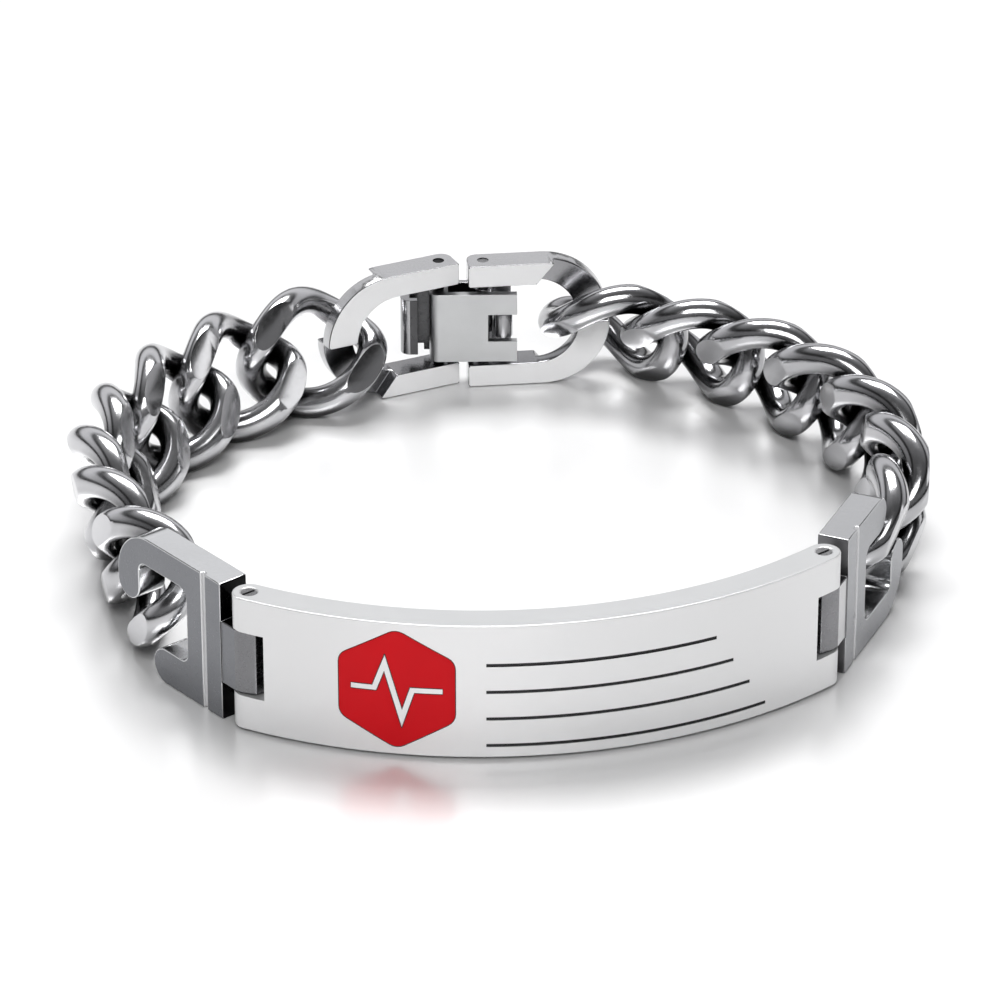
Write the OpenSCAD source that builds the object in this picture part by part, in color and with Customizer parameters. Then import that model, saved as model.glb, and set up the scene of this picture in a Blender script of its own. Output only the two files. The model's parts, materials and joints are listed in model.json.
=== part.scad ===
// Medical alert bracelet: a bent identity plate with an enamel emblem, two hinged
// end pieces, a heavy curb chain on each side and a fold-over clasp between two rings.
// The loop stands on its edge. Lengths are in millimetres, +Z is up.

/* [Identity plate] */
// Length of the plate from hinge pin to hinge pin, along its middle
plate_l = 50; // [42:0.5:60]
// Height of the plate
plate_h = 12; // [11:0.25:12.5]
// Thickness of the plate
plate_t = 2.75; // [2.4:0.05:3.2]
// Radius that the outer face of the plate is bent to
plate_r = 41.9; // [38:0.5:50]

/* [Emblem] */
// Distance of the emblem from the middle of the plate, along its face
emblem_at = 12.7; // [9:0.1:15]
// Height of the emblem from corner to corner
emblem_h = 10.6; // [9:0.1:11]
// Rounding radius of the emblem's corners
emblem_round = 1.2; // [0.6:0.1:2]
// Width of the bare metal pulse line across the emblem
pulse_w = 0.5; // [0.3:0.05:0.8]
// Depth of the enamel in its recess
enamel_t = 0.35; // [0.2:0.05:0.6]

/* [Engraved rules] */
// Number of plain ruled lines for the wearer's details
rules = 4; // [1:1:5]
// Distance from one ruled line to the next
rule_step = 2.45; // [1.8:0.05:2.5]
// Place of the lines' left end, to the left of the plate's middle
rule_left = 5.5; // [3:0.1:6]
// Length of the longest line, the lowest one
rule_l = 24; // [15:0.5:25]
// Width of a line
rule_w = 0.3; // [0.1:0.05:0.4]
// Depth of a line
rule_t = 0.08; // [0.05:0.01:0.15]

/* [Hinges] */
// Diameter of a hinge pin
hinge_pin_d = 1.3; // [1:0.05:1.5]
// Distance from a hinge pin to the end wall of its connector
hinge_s = 2.1; // [1.9:0.05:2.6]
// Height of the knuckle between the plate's two ears
knuckle_h = 5.7; // [4:0.1:6.5]
// Thickness of the knuckle
knuckle_t = 2.6; // [2.2:0.05:2.8]
// Distance from a hinge pin to the end wall of the plate's notch
notch_s = 1.95; // [1.7:0.05:2.5]
// Width of the slot in the head of a hinge pin
slot_w = 0.25; // [0.15:0.05:0.4]
// Depth of the slot in the head of a hinge pin
slot_t = 0.25; // [0.1:0.05:0.5]

/* [Connectors] */
// Length of a connector from its end wall to the far edge of its hook
conn_l = 13.85; // [12.5:0.05:15]
// Height of a connector
conn_h = 12.5; // [12.25:0.25:13]
// Thickness of a connector
conn_t = 2.7; // [2.3:0.05:3]
// Length of the solid block at the plate's side
root_l = 4.6; // [3.8:0.1:5]
// Height of the long arm
long_arm_h = 2.5; // [2:0.1:3]
// Rounding radius of the hook's outer corner
hook_round = 4.2; // [3:0.1:5]
// Width of the hook's end bar
hook_w = 2.85; // [2.4:0.05:3]
// Height of the hook's tip above the connector's middle
hook_tip = -0.15; // [-0.5:0.05:0.6]
// Length of the short arm, measured from the end wall
short_arm_l = 9.25; // [8:0.05:9.5]
// Height of the short arm
short_arm_h = 3.2; // [2.4:0.1:3.4]
// Rounding radius of the window's corners
window_round = 0.9; // [0.4:0.1:1.2]
// Distance of the groove from the end wall
groove_s = 2.3; // [1.5:0.1:3]
// Width of the groove
groove_w = 0.45; // [0.3:0.05:0.8]
// Depth of the groove
groove_t = 0.3; // [0.1:0.05:0.6]

/* [Chain] */
// Number of links on each side
links = 7; // [7:1:8]
// Diameter of the links' wire
wire_d = 2.85; // [2.6:0.05:2.85]
// Outer height of a link
link_h = 12; // [11.5:0.1:12.4]
// Inner length of a link
link_hole_l = 8.75; // [8:0.05:9]
// Play between two links along the chain
link_play = 0.45; // [0.35:0.05:0.55]
// Play between a ring's bow and the first link
bow_play = 0.4; // [0.3:0.05:0.6]
// Twist of a link's ends out of the plane of its middle, in degrees
link_twist = 48; // [46:1:50]
// Thickness of the chain over its filed faces
chain_t = 5.1; // [4.4:0.1:6]

/* [Clasp] */
// Distance between the two clasp pins
clasp_l = 4; // [3.8:0.1:5]
// Diameter of a clasp pin
clasp_pin_d = 1; // [0.8:0.05:1.1]
// Wall of the barrels that turn on the clasp pins
barrel_wall = 0.3; // [0.2:0.05:0.4]
// Length of a ring from its flat end to its bow
ring_l = 12.85; // [12.5:0.05:14.5]
// Height of a ring
ring_h = 12; // [11.5:0.1:12.5]
// Thickness of a ring
ring_t = 2.8; // [2.4:0.05:3.2]
// Height of a ring's two arms
ring_arm_h = 2.1; // [1.8:0.05:2.3]
// Width of the ring's bow where the chain pulls
ring_bow_w = 2.85; // [2.5:0.05:2.9]
// Distance from a clasp pin to the flat end of its ring
ring_pin_s = 1.45; // [1.2:0.05:1.6]
// Rounding radius of the ring's outer end edges
ring_end_round = 1; // [0.5:0.1:1.2]
// Depth of the two recesses in the bow for the first link
recess_t = 1.25; // [1.1:0.05:1.3]
// Slant of the end wall of a recess, in degrees
recess_slant = 38; // [20:1:50]
// Height of the lever and of the hook plate
leaf_h = 6.7; // [5.5:0.1:7.2]
// Thickness of the lever's leaf
lever_t = 0.7; // [0.5:0.05:0.8]
// Gap between the lever's leaf and the barrel that it lies over
lever_gap = 0.2; // [0.1:0.05:0.3]
// Length of the lever from its pin to its free end
lever_l = 7.05; // [6.8:0.05:8]
// Length of the notch in the lever's free end
lever_notch_l = 2.6; // [2.4:0.05:2.7]
// Height of the notch in the lever's free end
lever_notch_h = 2.65; // [2.2:0.05:3.2]
// Thickness of the hook plate
hook_plate_t = 0.6; // [0.4:0.05:0.8]
// Distance from the left clasp pin to the far side of the hook's curl
curl_l = 3.45; // [3.3:0.05:4]
// Thickness of the curl's wall
curl_t = 0.85; // [0.6:0.05:0.9]
// Length of the lip on the curl
lip_l = 0.7; // [0.4:0.05:0.75]
// Thickness of the lip on the curl
lip_t = 0.65; // [0.4:0.05:0.8]
// Height of the curl
curl_h = 5.4; // [4:0.1:6.5]
// Height of the catch that holds the lever's notch
catch_h = 2.3; // [1.8:0.05:2.4]
// Radius of the catch's round top
catch_r = 0.8; // [0.6:0.05:0.85]
// Distance of the catch's top below the wrist face of the lever
catch_drop = 0.3; // [0.1:0.05:0.6]

/* [Fits] */
// Radial clearance of a pin in the bore that turns on it
pin_play = 0.04; // [0.02:0.01:0.08]
// Radial clearance of a pin in the bores that hold it
pin_seat = 0.02; // [0.01:0.01:0.04]
// Clearance above and below a knuckle
knuckle_play = 0.08; // [0.04:0.01:0.15]
// Gap around the enamel in its recess
enamel_gap = 0.03; // [0.02:0.01:0.06]

/* [Pose] */
// Angle by which each connector folds inwards from the plate's end
connector_fold = 23; // [15:1:30]
// Place of the left clasp pin, to the right of the plate's middle
clasp_x = 0; // [-2:0.1:2]
// Angle of the clasp to the plate's chord
clasp_turn = -7; // [-12:1:0]
// Angle by which the left ring folds inwards from the clasp
left_ring_fold = 24; // [10:1:26]
// Angle by which the right ring folds inwards from the clasp
right_ring_fold = -5; // [-8:1:12]
// Distance of the last links' ends from the hooks' middle, towards the wrist
hook_shift = 1.3; // [0.4:0.05:2]
// Distance of the first left link's end from its ring's middle, away from the wrist
left_bow_shift = 0.45; // [0.4:0.05:0.5]
// Distance of the first right link's end from its ring's middle, away from the wrist
right_bow_shift = 1.1; // [1:0.05:1.2]
// Straight distance that the left chain spans, as a share of its length
chain_span = 0.868; // [0.868:0.002:0.9]

/* [Hidden] */

$fn = 96;
// Pose of the chain's links along each side, a row for each sampled place from clasp to
// connector: [share of the way, lean of the link's top towards the wrist]
left_lean = [[0, -31], [0.17, -32.5], [0.33, -28], [0.5, -24], [0.67, -18.5], [0.83, -9.5], [1, 1.5]];
right_lean = [[0, 39], [0.17, 31], [0.33, 22], [0.5, 14], [0.67, 5], [0.83, -3.5], [1, -10.5]];
// Shape of the chain on each side, a row for each sampled place from clasp to connector:
// [share of the way, relative bend between two links]
left_bends = [[0, 1.3], [0.3, 0.95], [0.6, 1], [1, 0.6]];
right_bends = [[0, 0.5], [0.3, 0.8], [0.6, 1], [1, 2]];

// Corners of the pulse line, as shares of the emblem's height: [across, up]
pulse_trace = [[-0.35, 0], [-0.17, 0], [-0.09, 0.22], [0.04, -0.25], [0.12, 0], [0.35, 0]];

// Sides round a link and round its wire
link_sides = 16;
wire_sides = 6;

mid_z = conn_h / 2;
mid_r = plate_r - plate_t / 2;
plate_half = plate_l / 2 / mid_r * 180 / PI;
notch_h = knuckle_h + 2 * knuckle_play;
pitch = link_hole_l - link_play;
link_a = (link_hole_l + wire_d) / 2;
link_b = (link_h - wire_d) / 2;

// Barrels on the clasp pins, and how far the leaf, curl and hook plate lie from the pins
barrel_r = clasp_pin_d / 2 + pin_play + barrel_wall;
lever_rise = barrel_r + lever_gap + lever_t;
curl_rise = lever_rise - 0.25;
plate_rise = barrel_r + 0.05;

function dir(angle) = [cos(angle), sin(angle)];
function turned(v, angle) = [v.x * cos(angle) - v.y * sin(angle), v.x * sin(angle) + v.y * cos(angle)];

// The pins of the two hinges, and the heading of each connector away from the plate
left_pin = mid_r * dir(-90 - plate_half);
right_pin = mid_r * dir(-90 + plate_half);
left_heading = 180 - plate_half - connector_fold;
right_heading = plate_half + connector_fold;

// Where the chain pulls on a connector's hook and on a ring's bow, from their pins
hook_reach = hinge_s + conn_l - hook_w - link_play / 2;
bow_reach = ring_l - ring_bow_w - ring_pin_s - bow_play + link_play / 2;
left_hook = left_pin + turned([hook_reach, -hook_shift], left_heading);
right_hook = right_pin + turned([hook_reach, hook_shift], right_heading);

// The clasp lies where the left chain's span reaches it
left_ring_heading = 180 + clasp_turn + left_ring_fold;
right_ring_heading = clasp_turn - right_ring_fold;
left_bow_way = turned([bow_reach, -left_bow_shift], left_ring_heading);
left_bow_x = clasp_x + left_bow_way.x;
left_span = chain_span * links * pitch;
left_bow = [left_bow_x, left_hook.y + sqrt(left_span^2 - (left_bow_x - left_hook.x)^2)];
clasp_at = left_bow - left_bow_way;
right_bow = clasp_at + clasp_l * dir(clasp_turn) + turned([bow_reach, right_bow_shift], right_ring_heading);

// Headings of a chain's links for a bend scale k, from a table of relative bends
function bend_sum(w, i) = i < 1 ? 0 : bend_sum(w, i - 1) + lookup(i / links, w);
function headings(w, k) = [for (i = [0:links - 1]) k * bend_sum(w, i)];
function sum_dirs(h, n) = n < 1 ? [0, 0] : sum_dirs(h, n - 1) + dir(h[n - 1]);

// The bend scale that lets the chain span a distance
function bend_scale(w, span, low = 0, high = 40, step = 0) =
    let (k = (low + high) / 2)
    step == 30 ? k
    : pitch * norm(sum_dirs(headings(w, k), links)) > span ? bend_scale(w, span, k, high, step + 1)
    : bend_scale(w, span, low, k, step + 1);

// A chain's route from its ring's bow to its connector's hook: [start, headings]
function route(bow, hook, side, w) =
    let (
        way = hook - bow,
        h = side * headings(w, bend_scale(w, norm(way))),
        drift = sum_dirs(h, links),
        first = atan2(way.y, way.x) - atan2(drift.y, drift.x)
    )
    [bow, [for (a = h) first + a]];
function joint_at(r, i) = r[0] + pitch * sum_dirs(r[1], i);
left_route = route(left_bow, left_hook, 1, left_bends);
right_route = route(right_bow, right_hook, -1, right_bends);

// A curb link's section at t degrees: an oval with its two ends twisted out of plane
function link_middle(t) =
    let (twist = link_twist * cos(t))
    [link_a * cos(t), link_b * sin(t) * sin(twist), link_b * sin(t) * cos(twist)];
function unit(v) = v / norm(v);
function link_ring(t) =
    let (
        p = link_middle(t),
        along = unit(link_middle(t + 1) - link_middle(t - 1)),
        out = unit(p - (p * along) * along),
        across = cross(along, out),
        side_r = wire_d / 2
    )
    [for (u = [0:wire_sides - 1])
        let (q = p + side_r * (cos(u * 360 / wire_sides) * out + sin(u * 360 / wire_sides) * across))
        [q.x, max(-chain_t / 2, min(chain_t / 2, q.y)), q.z]];

link_points = [for (i = [0:link_sides - 1]) each link_ring(360 * i / link_sides)];

// Where link i of a side lies: [middle, heading, lean], counted from the clasp
function link_place(r, i, lean) =
    [joint_at(r, i - 1) + pitch / 2 * dir(r[1][i - 1]), r[1][i - 1], lookup((i - 1) / (links - 1), lean)];
function link_corners(r, i, lean, side) =
    let (place = link_place(r, i, lean), tilt = -side * place[2])
    [for (p = link_points) place[0] + turned([p.x, p.y * cos(tilt) - p.z * sin(tilt)], place[1])];

// How far a leaning link reaches below its middle
function link_low(lean) = -min([for (p = link_points) p.y * sin(lean) + p.z * cos(lean)]);

// The farthest that the links reach on each side, and the chain or a ring at the back
left_corners = [for (i = [1:links]) each link_corners(left_route, i, left_lean, 1)];
right_corners = [for (i = [1:links]) each link_corners(right_route, i, right_lean, -1)];
ring_corners = [for (s = [ring_end_round - ring_pin_s, ring_l - ring_pin_s])
    clasp_at + clasp_l * dir(clasp_turn) + turned([s, ring_t / 2], right_ring_heading)];
left_reach = min([for (p = left_corners) p.x]);
right_reach = max([for (p = right_corners) p.x]);
back_reach = max([for (p = concat(left_corners, right_corners, ring_corners)) p.y]);
loop_mid = [(right_reach + left_reach) / 2, (back_reach - plate_r) / 2];

module loop_frame() translate([-loop_mid.x, -loop_mid.y, mid_z]) children();

// Stands an outline drawn in length and height up as a slab of thickness t
module slab(t) rotate([90, 0, 0]) linear_extrude(t, center = true) children();

// A rectangle from (x0, y0) to (x1, y1) with corners of radius r
module round_rect(x0, y0, x1, y1, r) {
    translate([x0 + r, y0]) square([x1 - x0 - 2 * r, y1 - y0]);
    translate([x0, y0 + r]) square([x1 - x0, y1 - y0 - 2 * r]);
    for (x = [x0 + r, x1 - r], y = [y0 + r, y1 - r]) translate([x, y]) circle(r);
}

// The plate's band in plan, round at both ends about the hinge pins
module plate_plan() {
    intersection() {
        difference() {
            circle(plate_r, $fn = 360);
            circle(plate_r - plate_t, $fn = 360);
        }
        polygon([[0, 0], 2 * plate_r * dir(-90 - plate_half), 2 * plate_r * dir(-90 + plate_half)]);
    }
    for (p = [left_pin, right_pin]) translate(p) circle(plate_t / 2);
}

module hinge_notch(pin, heading) {
    translate(pin) rotate(heading) translate([-notch_s, -plate_t, -notch_h / 2])
        cube([notch_s + plate_t, 2 * plate_t, notch_h]);
}

// A heartbeat's trace as one stroke of width w with mitred corners
module pulse_line(w) {
    trace = emblem_h * pulse_trace;
    n = len(trace) - 1;
    function side(i) = let (way = unit(trace[i + 1] - trace[i])) [-way.y, way.x];
    function mitre(i) = i == 0 ? side(0) : i == n ? side(n - 1)
        : let (m = side(i - 1) + side(i)) 2 * m / (m * m);
    polygon([
        for (i = [0:n]) trace[i] + w / 2 * mitre(i),
        for (i = [n:-1:0]) trace[i] - w / 2 * mitre(i),
    ]);
}

// A hexagon with round corners, grown by g, round a pulse line that is left bare
module emblem_outline(g) {
    corner = emblem_h / 2 - emblem_round;
    difference() {
        rotate(90) polygon([for (i = [0:5], a = [-30:15:30])
            corner * dir(60 * i) + (emblem_round + g) * dir(60 * i + a)]);
        pulse_line(pulse_w - 2 * g);
    }
}

// The emblem's outline in the plate's bend, from a depth t up to a rise over the face
module emblem_body(t, rise, g) {
    difference() {
        intersection() {
            rotate(-emblem_at / plate_r * 180 / PI) translate([0, -plate_r, 0])
                slab(2 * plate_t) emblem_outline(g);
            cylinder(h = plate_h, r = plate_r + rise, center = true, $fn = 360);
        }
        cylinder(h = plate_h + 1, r = plate_r - t, center = true, $fn = 360);
    }
}

// Ruled lines one above the other, each a little longer than the one above it
module engraved_rules() {
    left = rule_left / plate_r * 180 / PI;
    for (i = [0:rules - 1]) {
        share = rules > 1 ? 0.8 + 0.2 * i / (rules - 1) : 1;
        z = rule_step * ((rules - 1) / 2 - i) - rule_step / 2;
        translate([0, 0, z]) rotate(-90 - left)
            rotate_extrude(angle = share * rule_l / plate_r * 180 / PI, $fn = 360)
                translate([plate_r - rule_t, -rule_w / 2]) square([1, rule_w]);
    }
}

module id_plate() {
    color("gainsboro") loop_frame() difference() {
        linear_extrude(plate_h, center = true) plate_plan();
        hinge_notch(left_pin, 180 - plate_half);
        hinge_notch(right_pin, plate_half);
        for (p = [left_pin, right_pin]) translate(p)
            cylinder(h = plate_h + 1, d = hinge_pin_d + 2 * pin_seat, center = true);
        emblem_body(enamel_t + enamel_gap, 0.5, enamel_gap);
        engraved_rules();
    }
}

module emblem() {
    color("crimson") loop_frame() emblem_body(enamel_t, 0, 0);
}

module hinge_pin(at) {
    color("silver") loop_frame() translate(at) difference() {
        cylinder(h = plate_h - 2 * knuckle_play, d = hinge_pin_d, center = true);
        translate([0, 0, plate_h / 2 - knuckle_play]) rotate(30)
            cube([hinge_pin_d + 1, slot_w, 2 * slot_t], center = true);
    }
}

// The hook side of a connector in length and height, the short arm below
module connector_outline() {
    half = conn_h / 2;
    tip_z = hook_tip + hook_w / 2;
    difference() {
        union() {
            intersection() {
                round_rect(-conn_l, -half, conn_l, half, hook_round);
                translate([0, tip_z]) square([conn_l, half]);
            }
            translate([0, -half]) square([root_l + window_round, conn_h]);
            translate([0, -half]) square([short_arm_l - short_arm_h / 2, short_arm_h]);
        }
        round_rect(root_l, short_arm_h - half, conn_l - hook_w, half - long_arm_h, window_round);
    }
    translate([conn_l - hook_w / 2, tip_z]) circle(hook_w / 2);
    translate([short_arm_l - short_arm_h / 2, (short_arm_h - conn_h) / 2]) circle(short_arm_h / 2);
}

// The knuckle in plan: flat faces and a blunt nose round the pin
module knuckle_plan() {
    k = knuckle_t / 2;
    polygon([
        [0.1, k], [-hinge_s + 0.3 * k, k], [-hinge_s - 0.2 * k, 0.86 * k], [-hinge_s - k, 0.35 * k],
        [-hinge_s - k, -0.35 * k], [-hinge_s - 0.2 * k, -0.86 * k], [-hinge_s + 0.3 * k, -k], [0.1, -k],
    ]);
}

// A connector lies along +X from its pin, its outer face towards +Y
module connector() {
    difference() {
        union() {
            translate([hinge_s, 0, 0]) slab(conn_t) connector_outline();
            translate([hinge_s, 0, 0]) linear_extrude(knuckle_h, center = true) knuckle_plan();
        }
        cylinder(h = conn_h + 1, d = hinge_pin_d + 2 * pin_play, center = true);
        translate([hinge_s + groove_s, conn_t / 2, 0])
            cube([groove_w, 2 * groove_t, conn_h + 1], center = true);
    }
}

module left_connector() {
    color("gray") loop_frame() translate(left_pin) rotate(left_heading) connector();
}

// The right connector is the same piece, turned over about its length
module right_connector() {
    color("gray") loop_frame() translate(right_pin) rotate(right_heading) rotate([180, 0, 0]) connector();
}

// A curb link, filed flat on both faces
module curb_link() {
    n = link_sides;
    m = wire_sides;
    function at(i, j) = (i % n) * m + j % m;
    faces = [for (i = [0:n - 1], j = [0:m - 1], half = [0, 1])
        half == 0 ? [at(i, j), at(i + 1, j), at(i, j + 1)]
        : [at(i, j + 1), at(i + 1, j), at(i + 1, j + 1)]];
    polyhedron(link_points, faces);
}

// Link i of a side, counted from the clasp; side is 1 on the left and -1 on the right
module chain_link(r, i, lean, side) {
    place = link_place(r, i, lean);
    color("lightsteelblue") loop_frame() translate([place[0].x, place[0].y, link_low(place[2]) - mid_z])
        rotate(place[1]) rotate([-side * place[2], 0, 0]) curb_link();
}

// A clasp ring in length and height, from its flat end at x = 0
module ring_outline() {
    half = ring_h / 2;
    hole = half - ring_arm_h;
    difference() {
        union() {
            translate([0, -half]) square([ring_l - half, ring_h]);
            translate([ring_l - half, 0]) circle(half);
        }
        translate([-1, -hole]) square([ring_l - ring_bow_w - hole + 1, 2 * hole]);
        translate([ring_l - ring_bow_w - hole, 0]) circle(hole);
    }
}

// The half of the bow that a link lies in, below the ring's middle
module recess_outline() {
    half = ring_h / 2;
    start = ring_l - half - 0.1 * half;
    polygon([[start, -half + ring_arm_h], [start + ring_h * tan(recess_slant), -half + ring_arm_h - ring_h],
        [2 * ring_l, -2 * ring_h], [2 * ring_l, 0], [start, 0]]);
}

// A clasp ring lies along +X from its pin, its outer face towards +Y
module clasp_ring() {
    difference() {
        translate([-ring_pin_s, 0, 0]) intersection() {
            slab(ring_t) ring_outline();
            linear_extrude(ring_h, center = true) union() {
                translate([ring_end_round, -ring_t / 2]) square([ring_l, ring_t]);
                translate([0, -ring_t / 2]) square([ring_l, ring_t - ring_end_round]);
                translate([ring_end_round, ring_t / 2 - ring_end_round]) circle(ring_end_round);
            }
        }
        cylinder(h = ring_h + 1, d = clasp_pin_d + 2 * pin_seat, center = true);
        for (turn = [0, 180]) rotate([turn, 0, 0])
            translate([-ring_pin_s, ring_t / 2, 0]) slab(2 * recess_t) recess_outline();
    }
}

module clasp_frame() loop_frame() translate([clasp_at.x, clasp_at.y, ring_h / 2 - mid_z]) children();
module right_clasp_frame() clasp_frame() rotate(clasp_turn) translate([clasp_l, 0, 0]) children();

module right_clasp_ring() {
    color("whitesmoke") right_clasp_frame() rotate(-right_ring_fold) clasp_ring();
}

// The left ring is the same piece, turned over about its length
module left_clasp_ring() {
    color("whitesmoke") clasp_frame() rotate(left_ring_heading) rotate([180, 0, 0]) clasp_ring();
}

module clasp_pin() {
    cylinder(h = ring_h - 2 * knuckle_play, d = clasp_pin_d, center = true);
}

module left_clasp_pin() {
    color("dimgray") clasp_frame() clasp_pin();
}

module right_clasp_pin() {
    color("dimgray") right_clasp_frame() clasp_pin();
}

// The lever in plan: a barrel round the left pin and a leaf on the wrist side of both pins
module lever_plan() {
    translate([0, barrel_r - lever_rise]) circle(barrel_r);
    translate([-barrel_r, barrel_r - lever_rise]) square([2 * barrel_r, lever_rise - barrel_r]);
    translate([0, -lever_rise]) square([lever_l, lever_t]);
    circle(barrel_r);
}

module clasp_lever() {
    color("silver") clasp_frame() rotate(clasp_turn) difference() {
        linear_extrude(leaf_h, center = true) lever_plan();
        cylinder(h = ring_h, d = clasp_pin_d + 2 * pin_play, center = true);
        translate([lever_l - lever_notch_l, -2 * lever_rise, -lever_notch_h / 2])
            cube([lever_notch_l + 1, 2 * lever_rise, lever_notch_h]);
    }
}

// The end of the hook plate in plan: a curl round the lever's barrel, open towards it
module curl_plan() {
    difference() {
        round_rect(-curl_l, -curl_rise, 0, plate_rise + hook_plate_t, curl_t);
        translate([curl_t - curl_l, lip_t - curl_rise]) square([curl_l, curl_rise - lip_t + plate_rise]);
        translate([curl_t + lip_l - curl_l, -2 * curl_rise]) square([curl_l, 2 * curl_rise]);
        translate([-barrel_r, -2 * curl_rise]) square([curl_l, 4 * curl_rise]);
    }
}

// The hook plate on the outer side: a barrel round the right pin, a curl and a catch
module clasp_hook_plate() {
    catch_at = lever_l - lever_notch_l / 2 + 0.1;
    catch_y = catch_r + catch_drop - lever_rise;
    color("silver") clasp_frame() rotate(clasp_turn) difference() {
        union() {
            linear_extrude(curl_h, center = true) curl_plan();
            linear_extrude(leaf_h, center = true) {
                translate([-barrel_r - 0.5, plate_rise]) square([lever_l + barrel_r, hook_plate_t]);
                translate([clasp_l, 0]) circle(barrel_r);
                translate([clasp_l - barrel_r, 0]) square([2 * barrel_r, plate_rise + hook_plate_t]);
            }
            linear_extrude(catch_h, center = true) {
                translate([catch_at, catch_y]) circle(catch_r);
                translate([catch_at - catch_r, catch_y])
                    square([2 * catch_r, plate_rise - catch_y + hook_plate_t / 2]);
            }
        }
        translate([clasp_l, 0, 0]) cylinder(h = ring_h, d = clasp_pin_d + 2 * pin_play, center = true);
    }
}

id_plate();
emblem();
hinge_pin(left_pin);  // left_hinge_pin
hinge_pin(right_pin);  // right_hinge_pin
left_connector();
right_connector();
for (i = [1:links])
    chain_link(left_route, i, left_lean, 1);
for (i = [1:links])
    chain_link(right_route, i, right_lean, -1);
left_clasp_ring();
right_clasp_ring();
left_clasp_pin();
right_clasp_pin();
clasp_lever();
clasp_hook_plate();
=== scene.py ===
"""Looks of the medical alert bracelet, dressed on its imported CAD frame.

Lengths are in millimetres unless a comment says otherwise; Blender works in metres.
"""

import json
import math

import bmesh
import bpy
import numpy as np
from mathutils import Matrix, Vector

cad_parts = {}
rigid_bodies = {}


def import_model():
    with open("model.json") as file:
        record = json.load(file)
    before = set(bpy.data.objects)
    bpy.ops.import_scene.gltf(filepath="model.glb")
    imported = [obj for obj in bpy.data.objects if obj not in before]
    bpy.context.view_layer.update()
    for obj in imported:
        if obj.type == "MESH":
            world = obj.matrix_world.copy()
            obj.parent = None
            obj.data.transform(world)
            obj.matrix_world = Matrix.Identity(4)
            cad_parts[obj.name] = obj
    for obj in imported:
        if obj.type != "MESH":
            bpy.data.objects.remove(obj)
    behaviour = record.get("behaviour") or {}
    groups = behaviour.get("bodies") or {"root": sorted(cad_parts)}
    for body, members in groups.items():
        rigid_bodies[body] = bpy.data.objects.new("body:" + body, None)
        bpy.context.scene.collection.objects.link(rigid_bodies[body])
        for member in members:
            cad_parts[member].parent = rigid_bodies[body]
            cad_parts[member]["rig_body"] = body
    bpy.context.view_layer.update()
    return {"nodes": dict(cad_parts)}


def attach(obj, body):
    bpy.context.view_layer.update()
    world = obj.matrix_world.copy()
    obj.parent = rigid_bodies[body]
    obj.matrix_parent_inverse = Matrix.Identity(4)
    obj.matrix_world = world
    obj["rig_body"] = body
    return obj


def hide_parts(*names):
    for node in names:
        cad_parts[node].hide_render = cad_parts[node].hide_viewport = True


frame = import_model()

MM = 0.001
SIDES = ("left", "right")
LINKS = [f"{side}_link_{i}" for side in SIDES for i in range(1, 8)]

# ---------------------------------------------------------------- sizes of the CAD part
ARC_CENTRE = Vector((-0.925736, 5.61476))
PLATE_R = 41.9
PLATE_T = 2.75
PLATE_MID_Z = 6.25
PLATE_H = 12
NOTCH_H = 6
ENGRAVED_X = 19
ENGRAVED_Y = -30

WIRE_R = 1.36
LINK_A = 5.8
LINK_B = 4.575
LINK_TWIST = 48
CHAIN_T = 5.1

RING_H = 12
RING_T = 2.8
RING_BEND_X = 5.4
RING_END_X = -1.2
RING_HEADINGS = {"left": 197, "right": -2}
CLASP_PINS = {"left": (-0.926, 32.091), "right": (3.044, 31.604)}
FOLD_X = (-3.6, -1.0)

END_HEADINGS = {"left": 121.654, "right": 58.346}
HINGES = {"left": Vector((-24.370, -27.440)), "right": Vector((22.518, -27.440))}
END_WALL_S = 2.1
GROOVE_S = 2.3
GROOVE_REACH = 0.26

# ---------------------------------------------------------------- detail added here
PLATE_EASE = 0.12
END_EASE = 0.1
RING_EASE = 0.15
LEVER_EASE = 0.06
HOOK_EASE = 0.05
EMBLEM_EASE = 0.06
LINK_EASE = 0.09
EASE_STEPS = 2
EASED_ANGLE = 35
CRISP_ANGLE = 50
BORE_REACH = 0.75
ROUND_STEPS = 112
WIRE_STEPS = 28

# ---------------------------------------------------------------- camera
FOCAL_PX = 5600
IMAGE_PX = 1000
SENSOR = 36
ELEVATION = math.radians(27.825)
DISTANCE = 475.556
TARGET = Vector((-0.4897, -3.1212, 6.0))
HEADING = Vector((0.14522, 0.98940, 0))


def add_camera():
    data = bpy.data.cameras.new("camera")
    data.sensor_width = SENSOR
    data.sensor_fit = "HORIZONTAL"
    data.lens = FOCAL_PX / IMAGE_PX * SENSOR
    data.clip_end = 10
    forward = HEADING.normalized() * math.cos(ELEVATION) - Vector((0, 0, math.sin(ELEVATION)))
    camera = bpy.data.objects.new("camera", data)
    camera.location = (TARGET - DISTANCE * forward) * MM
    camera.rotation_euler = forward.to_track_quat("-Z", "Y").to_euler()
    bpy.context.scene.collection.objects.link(camera)
    bpy.context.scene.camera = camera


# ---------------------------------------------------------------- nodes
def material(name, colour, metallic, roughness):
    """A node material and its Principled shader."""
    m = bpy.data.materials.new(name)
    m.use_nodes = True
    shader = m.node_tree.nodes["Principled BSDF"]
    shader.inputs["Base Color"].default_value = (*colour, 1)
    shader.inputs["Metallic"].default_value = metallic
    shader.inputs["Roughness"].default_value = roughness
    return m, shader


def node(m, kind, **settings):
    n = m.node_tree.nodes.new(kind)
    for key, value in settings.items():
        setattr(n, key, value)
    return n


def wire(m, source, target):
    m.node_tree.links.new(source, target)


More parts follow.
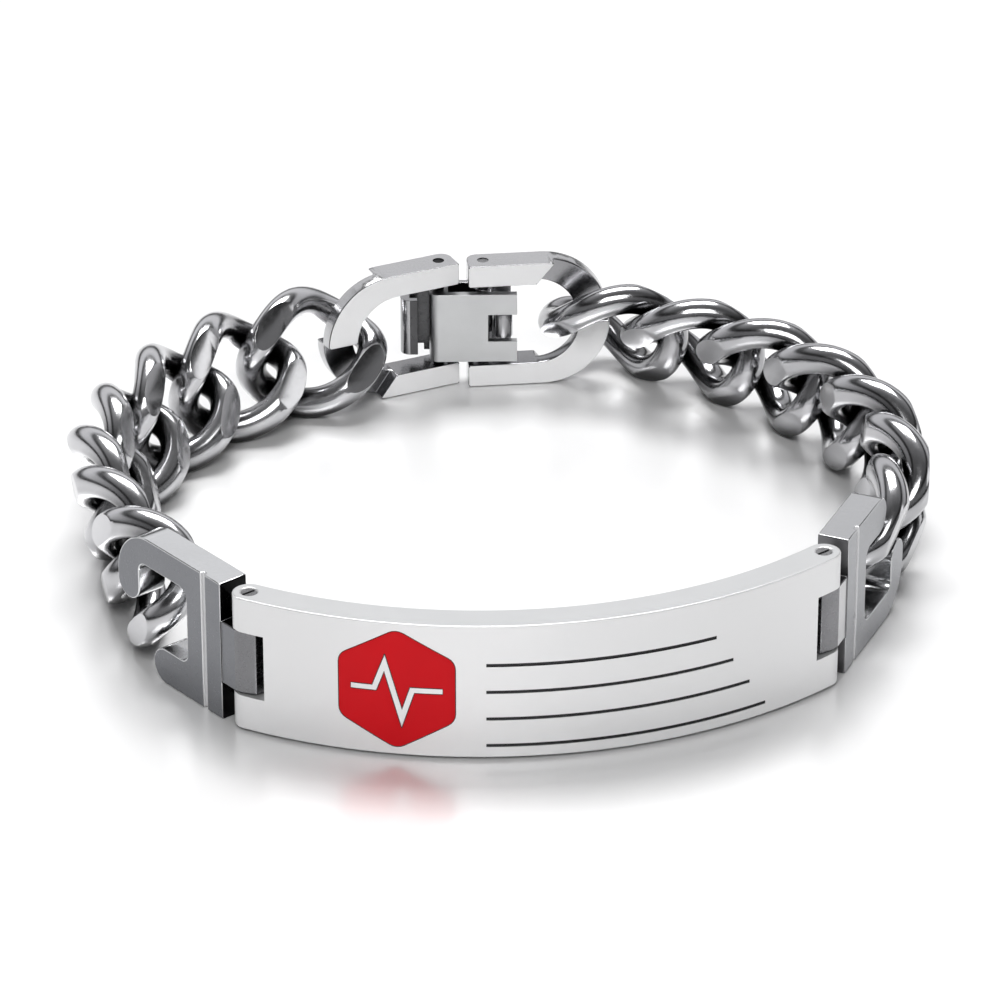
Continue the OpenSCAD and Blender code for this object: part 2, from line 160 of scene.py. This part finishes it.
def stretched(m, scale):
    """Object coordinates, stretched by a scale on each axis."""
    coordinates = node(m, "ShaderNodeTexCoord")
    mapping = node(m, "ShaderNodeMapping")
    mapping.inputs["Scale"].default_value = scale
    wire(m, coordinates.outputs["Object"], mapping.inputs["Vector"])
    return mapping.outputs["Vector"]


def noise(m, vector, scale, detail, rough):
    n = node(m, "ShaderNodeTexNoise")
    n.inputs["Scale"].default_value = scale
    n.inputs["Detail"].default_value = detail
    n.inputs["Roughness"].default_value = rough
    wire(m, vector, n.inputs["Vector"])
    return n.outputs["Fac"]


def spread(m, value, low, high, start=0.3, end=0.7):
    """A value that runs from low to high while another one runs from start to end."""
    n = node(m, "ShaderNodeMapRange")
    for key, number in (("From Min", start), ("From Max", end), ("To Min", low), ("To Max", high)):
        n.inputs[key].default_value = number
    wire(m, value, n.inputs["Value"])
    return n.outputs["Result"]


def blended(m, factor, a, b):
    """A mix of colour a with b, which is a colour or another node's output."""
    n = node(m, "ShaderNodeMix", data_type="RGBA")
    n.inputs["A"].default_value = (*a, 1)
    if isinstance(b, tuple):
        n.inputs["B"].default_value = (*b, 1)
    else:
        wire(m, b, n.inputs["B"])
    wire(m, factor, n.inputs["Factor"])
    return n.outputs["Result"]


def bumped(m, shader, height, distance):
    n = node(m, "ShaderNodeBump")
    n.inputs["Distance"].default_value = distance
    n.inputs["Strength"].default_value = 1.0
    wire(m, height, n.inputs["Height"])
    wire(m, n.outputs["Normal"], shader.inputs["Normal"])


# ---------------------------------------------------------------- materials
FINE_GRAIN_BUMP = 0.0000012  # metres
PATCH_SCALE = 260


def steel(name, light, dark, rough, grain=(1, 1, 1), grain_scale=2500, bump=FINE_GRAIN_BUMP,
          metallic=1.0):
    """Steel with a fine grain in its gloss and tone, and a slow change over the piece."""
    m, shader = material(name, light, metallic, sum(rough) / 2)
    fine = noise(m, stretched(m, grain), grain_scale, 4.0, 0.6)
    slow = noise(m, stretched(m, (1, 1, 1)), PATCH_SCALE, 2.0, 0.55)
    wire(m, spread(m, fine, *rough), shader.inputs["Roughness"])
    wire(m, blended(m, slow, dark, light), shader.inputs["Base Color"])
    if bump:
        bumped(m, shader, fine, bump)
    return m


def crevice_shaded(m, colour, reach, start, end):
    """Painted shade: darkens metal in the crevices, where other metal is nearer than a reach in
    metres.
    """
    shader = m.node_tree.nodes["Principled BSDF"]
    unshaded = shader.inputs["Base Color"].links[0].from_socket
    near = node(m, "ShaderNodeAmbientOcclusion", samples=6)
    near.inputs["Distance"].default_value = reach
    openness = spread(m, near.outputs["AO"], 0.0, 1.0, start, end)
    wire(m, blended(m, openness, colour, unshaded), shader.inputs["Base Color"])
    return m


plate_steel = steel("plate_steel", (0.86, 0.86, 0.865), (0.845, 0.845, 0.85), (0.30, 0.33),
                    grain=(1, 1, 6), grain_scale=1500, bump=0, metallic=0.3)
# Painted shade: a darker copy of the plate's steel for its top and bottom faces.
plate_rim_shade_steel = steel("plate_rim_shade_steel", (0.60, 0.605, 0.61), (0.56, 0.565, 0.57), (0.28, 0.30),
                        grain=(1, 1, 6), grain_scale=1500, bump=0, metallic=0.55)
# Near-black fill of the ruled lines, and painted shade on the walls of the plate's notches.
rule_fill_and_notch_shade_steel = steel("rule_fill_and_notch_shade_steel", (0.05, 0.05, 0.052), (0.035, 0.035, 0.036), (0.4, 0.5), bump=0)

ring_steel = steel("ring_steel", (0.61, 0.61, 0.62), (0.55, 0.55, 0.56), (0.18, 0.26))
# Painted light: a near-white non-metal copy for the broad faces, so they stay bright where shade
# falls.
ring_face_lit_steel = steel("ring_face_lit_steel", (0.98, 0.98, 0.985), (0.94, 0.94, 0.945), (0.30, 0.38),
                        grain_scale=3000, metallic=0.0)
# Painted shade: darker copies for the walls round the hole and in the recesses, and for the eased
# edges beside the broad faces.
ring_inner_shade_steel = steel("ring_inner_shade_steel", (0.36, 0.36, 0.37), (0.27, 0.27, 0.28), (0.16, 0.24))
ring_edge_shade_steel = steel("ring_edge_shade_steel", (0.20, 0.20, 0.205), (0.14, 0.14, 0.145), (0.2, 0.3),
                        bump=0)
hook_steel = steel("hook_steel", (0.42, 0.42, 0.43), (0.34, 0.34, 0.35), (0.16, 0.24))
# Painted shade: a darker copy for the inside of the hook plate's fold.
fold_shade_steel = steel("fold_shade_steel", (0.10, 0.10, 0.103), (0.06, 0.06, 0.062), (0.2, 0.3))
leaf_steel = steel("leaf_steel", (0.52, 0.525, 0.53), (0.44, 0.445, 0.45), (0.28, 0.36),
                   grain_scale=4000)
# Painted shade: the pin heads, sunk in their holes, are darker than the rest of the steel.
pin_shade_steel = steel("pin_shade_steel", (0.28, 0.28, 0.285), (0.18, 0.18, 0.185), (0.2, 0.35))

# Painted shade: the right side lies darker, so the right chain and the right end piece's upper
# faces are darker copies of the left steel.
# Painted shade colours for the crevices of the links and of the end pieces.
LINK_CREVICE_SHADE = (0.02, 0.02, 0.021)
chain_steel = {
    "left": crevice_shaded(steel("left_chain_steel", (0.67, 0.67, 0.685), (0.61, 0.61, 0.625),
                         (0.15, 0.21), bump=0), LINK_CREVICE_SHADE, 0.0026, 0.42, 0.97),
    "right": crevice_shaded(steel("right_chain_shaded_steel", (0.58, 0.58, 0.595), (0.52, 0.52, 0.535),
                          (0.13, 0.19), bump=0), LINK_CREVICE_SHADE, 0.0028, 0.46, 0.98)}
END_CREVICE_SHADE = (0.10, 0.10, 0.104)
end_steel = {
    "left": crevice_shaded(steel("end_steel", (0.80, 0.81, 0.82), (0.74, 0.745, 0.755), (0.14, 0.20)),
                   END_CREVICE_SHADE, 0.0032, 0.30, 0.85),
    "right": crevice_shaded(steel("right_end_shaded_steel", (0.62, 0.625, 0.635), (0.57, 0.575, 0.585),
                          (0.14, 0.20)), END_CREVICE_SHADE, 0.0032, 0.30, 0.85)}
# Painted shade: darker copies of the end steel for the end pieces' flat faces.
end_face_shade_steel = {
    "left": steel("end_face_shade_steel", (0.25, 0.255, 0.27), (0.22, 0.225, 0.24), (0.26, 0.34),
                  grain_scale=4000),
    "right": steel("right_face_shade_steel", (0.37, 0.375, 0.39), (0.33, 0.335, 0.35), (0.26, 0.34),
                   grain_scale=4000)}
# Painted shade: near-black steel for the left end wall and the left clasp pin's head; the right end
# wall is a dark grey copy, darker still next to the gap.
black_shade_steel = steel("end_wall_shade_steel", (0.012, 0.012, 0.013), (0.008, 0.008, 0.009), (0.3, 0.4))
end_wall_shade_steel = {
    "left": black_shade_steel,
    "right": crevice_shaded(steel("right_wall_shade_steel", (0.20, 0.20, 0.206), (0.16, 0.16, 0.165),
                          (0.3, 0.4)), (0.01, 0.01, 0.011), 0.0014, 0.05, 0.55)}
# Painted highlight: bright steel in the end pieces' grooves and on the right knuckle's flat faces.
groove_highlight_steel = steel("groove_highlight_steel", (0.74, 0.74, 0.75), (0.66, 0.66, 0.67), (0.3, 0.36),
                     metallic=0.3)
# Painted shade: a darker copy for the knuckle's rounded nose.
nose_shade_steel = steel("nose_shade_steel", (0.27, 0.27, 0.28), (0.21, 0.21, 0.218), (0.22, 0.3))

enamel = steel("enamel", (0.68, 0.002, 0.008), (0.60, 0.0015, 0.007), (0.38, 0.46), metallic=0.0)
enamel.node_tree.nodes["Principled BSDF"].inputs["Specular IOR Level"].default_value = 0.15
# Painted shade: a dark line round the enamel, where it meets the plate.
enamel_edge_shade = steel("enamel_edge_shade", (0.13, 0.002, 0.003), (0.09, 0.0015, 0.002), (0.4, 0.5),
                    metallic=0.0)


# ---------------------------------------------------------------- meshes
def new_object(name, mesh, m):
    obj = bpy.data.objects.new(name, mesh)
    bpy.context.scene.collection.objects.link(obj)
    mesh.materials.clear()
    mesh.materials.append(m)
    return obj


def shade(mesh, angle):
    """Smooth shading that stays crisp over edges sharper than an angle in degrees."""
    for face in mesh.polygons:
        face.use_smooth = True
    mesh.set_sharp_from_angle(angle=math.radians(angle))


def smooth_by_area(obj):
    """Normals weighed by face area, so that flat faces stay flat beside their eased edges."""
    shade(obj.data, CRISP_ANGLE)
    weighted = obj.modifiers.new("weighted", "WEIGHTED_NORMAL")
    weighted.keep_sharp = True
    weighted.weight = 80
    depsgraph = bpy.context.evaluated_depsgraph_get()
    settled = bpy.data.meshes.new_from_object(obj.evaluated_get(depsgraph))
    obj.modifiers.clear()
    old, obj.data = obj.data, settled
    settled.name = old.name
    bpy.data.meshes.remove(old)


def bent_normals(mesh):
    """True normals for the plate's bent faces and their eased edges, flat ones elsewhere."""
    normals = []
    for face in mesh.polygons:
        face.use_smooth = True
        for index in face.vertices:
            p = mesh.vertices[index].co / MM
            radial = Vector((p.x - ARC_CENTRE.x, p.y - ARC_CENTRE.y))
            r = radial.length
            radial = Vector((*(radial / r), 0))
            n = face.normal
            side = 1 if n.dot(radial) > 0 else -1
            bend = abs(n.dot(radial))
            depth = (r - PLATE_R if side > 0 else PLATE_R - PLATE_T - r) + PLATE_EASE
            rise = abs(p.z - PLATE_MID_Z) - PLATE_H / 2 + PLATE_EASE
            on_broad_face = bend > 0.999 and abs(depth - PLATE_EASE) < 0.02
            on_eased_edge = bend > 0.1 and abs(n.z) > 0.1 and depth > -0.01 and rise > -0.01
            if on_broad_face:
                n = side * radial
            elif on_eased_edge:
                up = Vector((0, 0, 1 if p.z > PLATE_MID_Z else -1))
                n = (max(depth, 0) * side * radial + max(rise, 0) * up).normalized()
            normals.append(n)
    mesh.normals_split_custom_set(normals)


FINE_WELD = 2e-6  # metres
BORE_WELD = 6e-5  # metres, for solids with tiny edges beside a bore


def welded(name, reach=FINE_WELD):
    """A CAD solid's mesh, with points nearer than a reach in metres made one."""
    bm = bmesh.new()
    bm.from_mesh(frame["nodes"][name].data)
    bmesh.ops.remove_doubles(bm, verts=bm.verts, dist=reach)
    return bm


def finish_piece(obj, name):
    """Ties a piece to the body of the CAD node that it stands for."""
    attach(obj, frame["nodes"][name]["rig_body"])
    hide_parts(name)


def dress(name, m):
    """A material for a CAD node that is kept as it is."""
    data = frame["nodes"][name].data
    data.materials.clear()
    data.materials.append(m)


# ---------------------------------------------------------------- links
def link_place(name):
    """Axes and middle of a link in metres, from the CAD solid's own points."""
    bm = welded(name)
    points = np.array([v.co for v in bm.verts])
    bm.free()
    middle = points.mean(0)
    _, axes = np.linalg.eigh(np.cov((points - middle).T))
    along, up = axes[:, 2], axes[:, 1]
    across = np.cross(up, along)
    return Matrix(((*along,), (*across,), (*up,))).transposed(), Vector(middle)


def link_middle(t):
    """A point on the middle line of a link's wire, at an angle t round its oval."""
    twist = math.radians(LINK_TWIST) * math.cos(t)
    return Vector((LINK_A * math.cos(t), LINK_B * math.sin(t) * math.sin(twist),
                   LINK_B * math.sin(t) * math.cos(twist)))


def wire_ring(bm, t):
    """The points round the wire at an angle t round the link's oval."""
    step = 0.01
    p = link_middle(t)
    along = (link_middle(t + step) - link_middle(t - step)).normalized()
    out = (p - p.dot(along) * along).normalized()
    across = along.cross(out)
    turns = [2 * math.pi * j / WIRE_STEPS for j in range(WIRE_STEPS)]
    return [bm.verts.new((p + WIRE_R * (math.cos(u) * out + math.sin(u) * across)) * MM)
            for u in turns]


def link_mesh():
    """A curb link of round wire, filed flat on both faces of the chain."""
    bm = bmesh.new()
    rings = [wire_ring(bm, 2 * math.pi * i / ROUND_STEPS) for i in range(ROUND_STEPS)]
    for i, ring in enumerate(rings):
        nxt = rings[(i + 1) % ROUND_STEPS]
        for j in range(WIRE_STEPS):
            k = (j + 1) % WIRE_STEPS
            bm.faces.new((ring[j], ring[k], nxt[k], nxt[j]))
    bmesh.ops.recalc_face_normals(bm, faces=bm.faces)
    for side in (-1, 1):
        cut = bmesh.ops.bisect_plane(
            bm, geom=bm.verts[:] + bm.edges[:] + bm.faces[:], dist=1e-7,
            plane_co=(0, side * CHAIN_T / 2 * MM, 0), plane_no=(0, side, 0), clear_outer=True)
        rim = [e for e in cut["geom_cut"] if isinstance(e, bmesh.types.BMEdge)]
        bmesh.ops.holes_fill(bm, edges=rim, sides=0)
    bmesh.ops.remove_doubles(bm, verts=bm.verts, dist=0.06 * MM)
    flat_y = (CHAIN_T / 2 - 0.01) * MM
    rims = [e for e in bm.edges if len(e.link_faces) == 2
            and e.calc_face_angle() > math.radians(26)
            and all(abs(v.co.y) > flat_y for v in e.verts)]
    bmesh.ops.bevel(bm, geom=rims, offset=LINK_EASE * MM, segments=EASE_STEPS, profile=0.5,
                    affect="EDGES", clamp_overlap=True)
    mesh = bpy.data.meshes.new("link")
    bm.to_mesh(mesh)
    bm.free()
    return mesh


def add_link(name, base, m):
    axes, middle = link_place(name)
    mesh = base.copy()
    mesh.transform(Matrix.Translation(middle) @ axes.to_4x4())
    shade(mesh, 28)
    finish_piece(new_object(name + "_steel", mesh, m), name)


# ---------------------------------------------------------------- eased copies of CAD solids
def off_bore(pin):
    """A test for edges that lie away from a pin's bore."""
    return lambda edge: any(
        math.hypot(v.co.x / MM - pin[0], v.co.y / MM - pin[1]) > BORE_REACH for v in edge.verts)


def at_rim(edge):
    """A test for edges on the plate's top or bottom face."""
    return all(abs(v.co.z / MM - PLATE_MID_Z) > PLATE_H / 2 - 0.1 for v in edge.verts)


def add_bevelled(name, m, width, keep, clamp=True):
    """A copy of a CAD solid whose kept edges are eased by a small round."""
    bm = welded(name, FINE_WELD if clamp else BORE_WELD)
    bmesh.ops.dissolve_limit(bm, angle_limit=math.radians(0.3), verts=bm.verts, edges=bm.edges)
    edges = [e for e in bm.edges if len(e.link_faces) == 2
             and e.calc_face_angle() > math.radians(EASED_ANGLE) and keep(e)]
    bmesh.ops.bevel(bm, geom=edges, offset=width * MM, segments=EASE_STEPS, profile=0.5,
                    affect="EDGES", clamp_overlap=clamp, miter_outer="ARC")
    mesh = bpy.data.meshes.new(name + "_steel")
    bm.to_mesh(mesh)
    bm.free()
    obj = new_object(name + "_steel", mesh, m)
    if name in ("id_plate", "emblem"):
        bent_normals(mesh)
    else:
        smooth_by_area(obj)
    finish_piece(obj, name)
    return obj


# ---------------------------------------------------------------- finishes by face
def axes_of(heading):
    """The directions along and across a piece that lies at a heading in degrees."""
    turn = math.radians(heading)
    along = Vector((math.cos(turn), math.sin(turn), 0))
    return along, Vector((-along.y, along.x, 0))


def add_finishes(obj, *materials):
    for m in materials:
        obj.data.materials.append(m)


def finish_plate(obj):
    """Darker satin rims as painted shade on the top and bottom faces, a dark fill in the ruled
    lines and the emblem's bed, and painted shade on the notches' walls.
    """
    add_finishes(obj, rule_fill_and_notch_shade_steel, plate_rim_shade_steel)
    for face in obj.data.polygons:
        p = face.center / MM
        tangent = Vector((p.y - ARC_CENTRE.y, ARC_CENTRE.x - p.x, 0)).normalized()
        from_middle = abs(p.z - PLATE_MID_Z)
        sunk = PLATE_R - (Vector((p.x, p.y)) - ARC_CENTRE).length
        engraved = (from_middle < PLATE_H / 2 - 0.5 and 0.01 < sunk < 0.5
                    and p.y < ENGRAVED_Y and abs(p.x) < ENGRAVED_X)
        if engraved:
            face.material_index = 1
        # Painted shade: the top and bottom faces take the darker copy.
        elif abs(face.normal.z) > 0.9:
            face.material_index = 2
        # Painted shade: the notches' walls beside the end pieces' knuckles are near-black.
        elif abs(face.normal.dot(tangent)) > 0.7 and from_middle < NOTCH_H / 2:
            face.material_index = 1


def finish_emblem(obj):
    """Painted shade: a dark line round the enamel, where the gap to the plate lies."""
    add_finishes(obj, enamel_edge_shade)
    for face in obj.data.polygons:
        p = face.center / MM
        radial = Vector((p.x - ARC_CENTRE.x, p.y - ARC_CENTRE.y, 0)).normalized()
        if face.normal.dot(radial) < 0.97:
            face.material_index = 1


def finish_end(obj, side):
    """An end piece's darker flat faces, dark end wall, bright groove and grey knuckle nose, all
    copies of its steel: painted shade on the faces, the wall and the nose, and a painted highlight
    in the groove.
    """
    add_finishes(obj, end_face_shade_steel[side], end_wall_shade_steel[side], groove_highlight_steel, nose_shade_steel)
    along, across = axes_of(END_HEADINGS[side])
    hinge = HINGES[side]
    for face in obj.data.polygons:
        middle = face.center / MM
        from_pin = (middle.x - hinge.x) * along.x + (middle.y - hinge.y) * along.y
        upright = abs(face.normal.z) < 0.6
        sideways = abs(face.normal.dot(across))
        # Painted shade: the end wall goes black on the left and dark grey on the right.
        if face.normal.dot(along) < -0.9 and abs(from_pin - END_WALL_S) < 0.1:
            face.material_index = 2
        # Painted highlight: the groove's walls are bright.
        elif upright and abs(from_pin - END_WALL_S - GROOVE_S) < GROOVE_REACH:
            face.material_index = 3
        # Painted shade: the knuckle's rounded nose is darker.
        elif upright and from_pin < END_WALL_S and sideways < 0.97:
            face.material_index = 4
        # Painted shade on the left knuckle's flat faces, a painted highlight on the right one's.
        elif upright and from_pin < END_WALL_S:
            face.material_index = 1 if side == "left" else 3
        # Painted shade: the broad flat faces take the darker face copy.
        elif upright and sideways > 0.99:
            face.material_index = 1


def finish_ring(obj, side):
    """Satin broad faces whitened as painted light, and darker walls round the hole and in the
    recesses and darker eased edges as painted shade.
    """
    add_finishes(obj, ring_face_lit_steel, ring_inner_shade_steel, ring_edge_shade_steel)
    along, across = axes_of(RING_HEADINGS[side])
    pin = Vector((*CLASP_PINS[side], RING_H / 2))
    for face in obj.data.polygons:
        middle = face.center / MM - pin
        x, y, z = middle.dot(along), middle.dot(across), middle.z
        sideways = abs(face.normal.dot(across))
        bend = math.hypot(x - RING_BEND_X, z) if x > RING_BEND_X else abs(z)
        outer = bend > RING_H / 2 - 0.25 or x < RING_END_X
        if sideways > 0.9 and abs(y) > RING_T / 2 - 0.05:
            face.material_index = 1
        elif sideways > 0.9 or not outer:
            face.material_index = 2
        elif sideways > 0.25 and abs(y) > RING_T / 2 - 0.2:
            face.material_index = 3


def finish_hook_plate(obj):
    """Painted shade: darker steel inside the fold, between the hook plate's curl and the lever."""
    add_finishes(obj, fold_shade_steel)
    for face in obj.data.polygons:
        if FOLD_X[0] < face.center.x / MM < FOLD_X[1]:
            face.material_index = 1


# ---------------------------------------------------------------- the piece
add_camera()

base_link = link_mesh()
for link in LINKS:
    add_link(link, base_link, chain_steel[link.split("_")[0]])
bpy.data.meshes.remove(base_link)

finish_plate(add_bevelled("id_plate", plate_steel, PLATE_EASE, at_rim))
for side in SIDES:
    finish_end(add_bevelled(f"{side}_connector", end_steel[side], END_EASE,
                            off_bore(HINGES[side]), clamp=False), side)
    finish_ring(add_bevelled(f"{side}_clasp_ring", ring_steel, RING_EASE,
                             off_bore(CLASP_PINS[side]), clamp=False), side)
    # Painted shade: grey pin heads, and a black head for the left clasp pin.
    dress(f"{side}_hinge_pin", pin_shade_steel)
    dress(f"{side}_clasp_pin", pin_shade_steel if side == "right" else black_shade_steel)
add_bevelled("clasp_lever", leaf_steel, LEVER_EASE, off_bore(CLASP_PINS["left"]))
finish_hook_plate(add_bevelled("clasp_hook_plate", hook_steel, HOOK_EASE,
                               off_bore(CLASP_PINS["right"])))
finish_emblem(add_bevelled("emblem", enamel, EMBLEM_EASE, lambda edge: True))

# ---------------------------------------------------------------- studio, in metres and watts
FLOOR_HALF = 1.5
FLOOR_DROP = 0.00003
LIGHTS = (  # name, place, size, power, aim
    ("top_light", (0.05, 0.60, 1.15), (0.8, 0.5), 17.0, (0, 0.02, 0)),
    ("front_light", (-0.12, -0.57, 0.66), (0.45, 0.35), 3.7, (0, 0, 0)),
    ("side_panel", (0.90, -0.20, 0.37), (0.34, 0.34), 0.40, (0, 0, 0)))
ROOM_TONES = (  # height and tone, from the floor's rim up to the ceiling
    (0.0, 0.03), (0.13, 0.03), (0.24, 0.80), (0.52, 0.80),
    (0.60, 0.06), (0.69, 0.06), (0.79, 0.50), (1.0, 0.50))


def add_floor():
    mesh = bpy.data.meshes.new("floor")
    corners = [(x * FLOOR_HALF, y * FLOOR_HALF, 0) for x, y in ((-1, -1), (1, -1), (1, 1), (-1, 1))]
    mesh.from_pydata(corners, [], [(0, 1, 2, 3)])
    m, shader = material("floor", (0.84, 0.84, 0.84), 0, 0.28)
    shader.inputs["IOR"].default_value = 2.4
    shader.inputs["Specular IOR Level"].default_value = 1.0
    floor = new_object("floor", mesh, m)
    floor.location.z = -FLOOR_DROP


def add_area(name, where, size, power, aim):
    data = bpy.data.lights.new(name, "AREA")
    data.shape = "RECTANGLE"
    data.size, data.size_y = size
    data.energy = power
    light = bpy.data.objects.new(name, data)
    light.location = where
    light.rotation_euler = (Vector(aim) - Vector(where)).to_track_quat("-Z", "Y").to_euler()
    bpy.context.scene.collection.objects.link(light)


def ramp(m, value, stops):
    """A tone that goes through given stops of place and tone."""
    n = node(m, "ShaderNodeValToRGB")
    elements = n.color_ramp.elements
    for element, (place, tone) in zip(elements, (stops[0], stops[-1])):
        element.position = place
        element.color = (tone, tone, tone * 1.02, 1)
    for place, tone in stops[1:-1]:
        element = elements.new(place)
        element.color = (tone, tone, tone * 1.02, 1)
    wire(m, value, n.inputs["Fac"])
    return n.outputs["Color"]


def add_room():
    """A room: dark low down, bright wall, dark strip, bright ceiling; dimmer in front."""
    world = bpy.data.worlds.new("world")
    world.use_nodes = True
    bpy.context.scene.world = world
    background = world.node_tree.nodes["Background"]
    coordinates = node(world, "ShaderNodeTexCoord")
    split = node(world, "ShaderNodeSeparateXYZ")
    wire(world, coordinates.outputs["Generated"], split.inputs["Vector"])
    lit = node(world, "ShaderNodeVectorMath", operation="SCALE")
    wire(world, ramp(world, split.outputs["Z"], ROOM_TONES), lit.inputs["Vector"])
    wire(world, spread(world, split.outputs["Y"], 0.22, 1.0, -0.2, 0.7), lit.inputs["Scale"])
    wire(world, lit.outputs["Vector"], background.inputs["Color"])
    background.inputs["Strength"].default_value = 1.0


add_floor()
for light in LIGHTS:
    add_area(*light)
add_room()
bpy.context.scene.view_settings.view_transform = "Standard"
